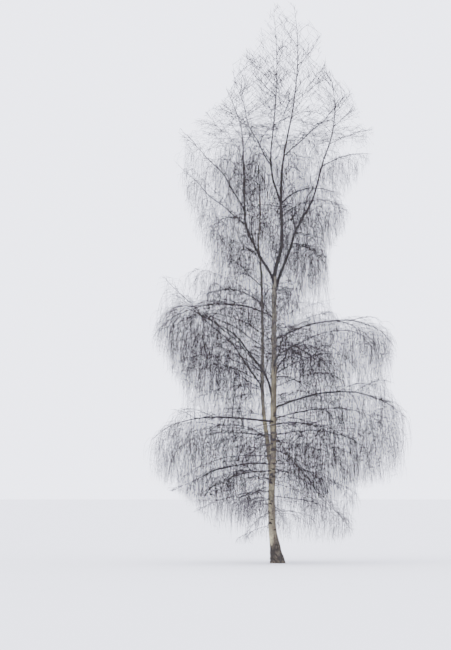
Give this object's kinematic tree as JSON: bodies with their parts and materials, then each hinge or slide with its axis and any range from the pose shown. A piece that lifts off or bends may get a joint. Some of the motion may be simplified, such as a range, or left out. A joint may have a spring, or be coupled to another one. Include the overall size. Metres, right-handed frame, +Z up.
{
  "type": "silver birch tree",
  "caption": "Leafless silver birch with a pale trunk, a forked crown, arching limbs and long hanging twigs, fixed at its foot.",
  "frame": {"origin": "middle of the flat cut under the trunk, at ground level", "axes": "+Z up the trunk, +X to the right of the pictured view, +Y away from the viewer"},
  "size_m": [6.3848, 5.359, 13.6055],
  "materials": {
    "trunk_bark": "pale cream bark that peels, dark and cracked at the foot",
    "limb_bark": "grey brown bark, satin, with pale pores",
    "twigs": "dark purple brown twigs with a faint gloss"
  },
  "bodies": {
    "root": {"trunk": "trunk_bark", "second_stem": "trunk_bark", "centre_leader": "limb_bark", "left_leader": "limb_bark", "right_leader": "limb_bark", "centre_left_leader": "limb_bark", "left_long_bough": "limb_bark", "left_low_bough": "limb_bark", "left_rising_bough": "limb_bark", "left_elbow_bough": "limb_bark", "left_arch_bough": "limb_bark", "upper_left_bough": "limb_bark", "upper_left_far_bough": "limb_bark", "centre_left_limb_bough": "limb_bark", "centre_right_limb_bough": "limb_bark", "right_arch_bough": "limb_bark", "right_long_bough": "limb_bark", "right_level_bough": "limb_bark", "right_lowest_bough": "limb_bark", "front_low_bough": "limb_bark", "front_middle_bough": "limb_bark", "back_low_bough": "limb_bark", "back_middle_bough": "limb_bark", "left_long_twigs": "twigs", "left_level_twigs": "twigs", "left_low_twigs": "twigs", "left_lowest_twigs": "twigs", "left_rising_twigs": "twigs", "left_elbow_twigs": "twigs", "left_arch_twigs": "twigs", "left_inner_twigs": "twigs", "left_bend_twigs": "twigs", "left_upswept_twigs": "twigs", "upper_left_twigs": "twigs", "upper_left_far_twigs": "twigs", "upper_left_fall_twigs": "twigs", "left_top_twigs": "twigs", "second_stem_top_twigs": "twigs", "centre_left_limb_twigs": "twigs", "centre_left_top_twigs": "twigs", "centre_top_twigs": "twigs", "centre_right_limb_twigs": "twigs", "centre_arch_twigs": "twigs", "right_top_twigs": "twigs", "right_high_twigs": "twigs", "right_fall_twigs": "twigs", "right_arch_twigs": "twigs", "right_drooping_twigs": "twigs", "right_long_twigs": "twigs", "right_level_twigs": "twigs", "right_steep_twigs": "twigs", "right_lowest_twigs": "twigs", "right_low_twigs": "twigs", "front_low_twigs": "twigs", "front_middle_twigs": "twigs", "back_low_twigs": "twigs", "back_middle_twigs": "twigs", "front_high_twigs": "twigs", "back_high_twigs": "twigs"}
  },
  "joints": []
}
